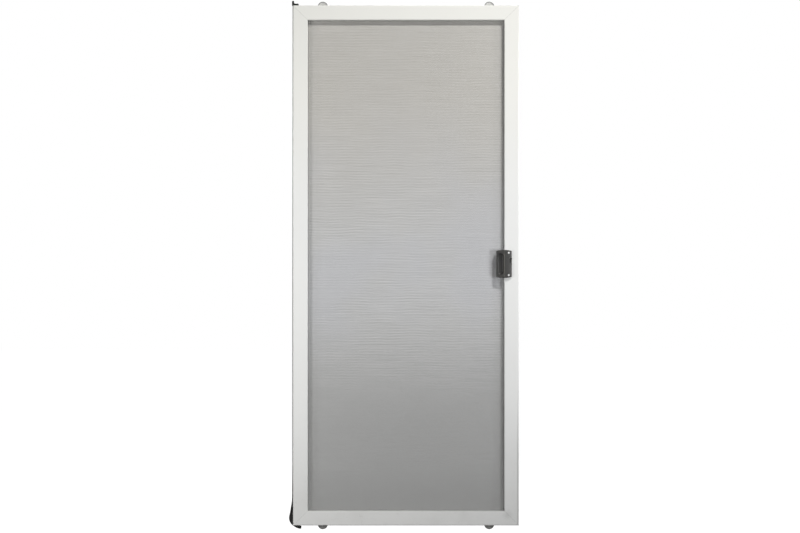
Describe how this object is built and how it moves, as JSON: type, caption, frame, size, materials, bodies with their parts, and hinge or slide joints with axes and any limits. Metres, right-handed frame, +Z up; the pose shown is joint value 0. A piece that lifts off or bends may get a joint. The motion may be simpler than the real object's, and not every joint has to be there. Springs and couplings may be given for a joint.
{
  "type": "sliding screen door",
  "caption": "Tall rectangular sliding screen door with a hollow mitred frame, insect mesh, edge rollers, a latched finger pull and a loose edge seal.",
  "frame": {"origin": "underside of the bottom rail, at mid width and mid depth", "axes": "+X across the door towards the pull, +Y from the front to the back, +Z up"},
  "size_m": [0.899, 0.0479, 2.064],
  "materials": {
    "frame_paint": "satin white enamel",
    "screen_mesh": "coated glass-fibre mesh",
    "spline_vinyl": "ribbed vinyl cord",
    "pull_plastic": "fine moulded grain",
    "seal_rubber": "soft vinyl",
    "bright_screw": "bright plated",
    "zinc_steel": "zinc plated",
    "wheel_steel": "zinc plated"
  },
  "bodies": {
    "door": {"left_stile": "frame_paint", "right_stile": "frame_paint", "bottom_rail": "frame_paint", "top_rail": "frame_paint", "insect_screen": "screen_mesh", "screen_spline": "spline_vinyl", "front_pull": "pull_plastic", "back_pull": "pull_plastic", "lower_pull_screw": "bright_screw", "upper_pull_screw": "bright_screw", "edge_seal": "seal_rubber", "seal_top_end": "seal_rubber", "seal_loose_end": "seal_rubber", "bottom_left_roller_housing": "zinc_steel", "bottom_left_roller_adjuster": "zinc_steel", "bottom_right_roller_housing": "zinc_steel", "bottom_right_roller_adjuster": "zinc_steel", "top_left_roller_housing": "zinc_steel", "top_left_roller_adjuster": "zinc_steel", "top_right_roller_housing": "zinc_steel", "top_right_roller_adjuster": "zinc_steel"},
    "bottom_left_carrier": {"bottom_left_roller_carrier": "zinc_steel", "bottom_left_roller_axle": "zinc_steel"},
    "bottom_left_wheel": {"bottom_left_wheel": "wheel_steel"},
    "bottom_right_carrier": {"bottom_right_roller_carrier": "zinc_steel", "bottom_right_roller_axle": "zinc_steel"},
    "bottom_right_wheel": {"bottom_right_wheel": "wheel_steel"},
    "top_left_carrier": {"top_left_roller_carrier": "zinc_steel", "top_left_roller_axle": "zinc_steel"},
    "top_left_wheel": {"top_left_wheel": "wheel_steel"},
    "top_right_carrier": {"top_right_roller_carrier": "zinc_steel", "top_right_roller_axle": "zinc_steel"},
    "top_right_wheel": {"top_right_wheel": "wheel_steel"},
    "latch": {"latch_lever": "pull_plastic", "latch_hook": "zinc_steel"}
  },
  "joints": [
    {"name": "bottom_left_roller_height", "type": "slide", "parent": "door", "child": "bottom_left_carrier", "axis": [0, 0, 1], "range_m": [-0.003, 0.01]},
    {"name": "bottom_left_wheel_spin", "type": "hinge", "parent": "bottom_left_carrier", "child": "bottom_left_wheel", "pos_m": [-0.325, 0, 0.0045], "axis": [0, 1, 0], "continuous": true},
    {"name": "bottom_right_roller_height", "type": "slide", "parent": "door", "child": "bottom_right_carrier", "axis": [0, 0, 1], "range_m": [-0.003, 0.01]},
    {"name": "bottom_right_wheel_spin", "type": "hinge", "parent": "bottom_right_carrier", "child": "bottom_right_wheel", "pos_m": [0.325, 0, 0.0045], "axis": [0, 1, 0], "continuous": true},
    {"name": "top_left_roller_height", "type": "slide", "parent": "door", "child": "top_left_carrier", "axis": [0, 0, -1], "range_m": [-0.003, 0.01]},
    {"name": "top_left_wheel_spin", "type": "hinge", "parent": "top_left_carrier", "child": "top_left_wheel", "pos_m": [-0.325, 0, 2.0255], "axis": [0, 1, 0], "continuous": true},
    {"name": "top_right_roller_height", "type": "slide", "parent": "door", "child": "top_right_carrier", "axis": [0, 0, -1], "range_m": [-0.003, 0.01]},
    {"name": "top_right_wheel_spin", "type": "hinge", "parent": "top_right_carrier", "child": "top_right_wheel", "pos_m": [0.325, 0, 2.0255], "axis": [0, 1, 0], "continuous": true},
    {"name": "latch_turn", "type": "hinge", "parent": "door", "child": "latch", "pos_m": [0.405, 0, 1.021], "axis": [0, 1, 0], "range_deg": [0, 55]}
  ]
}
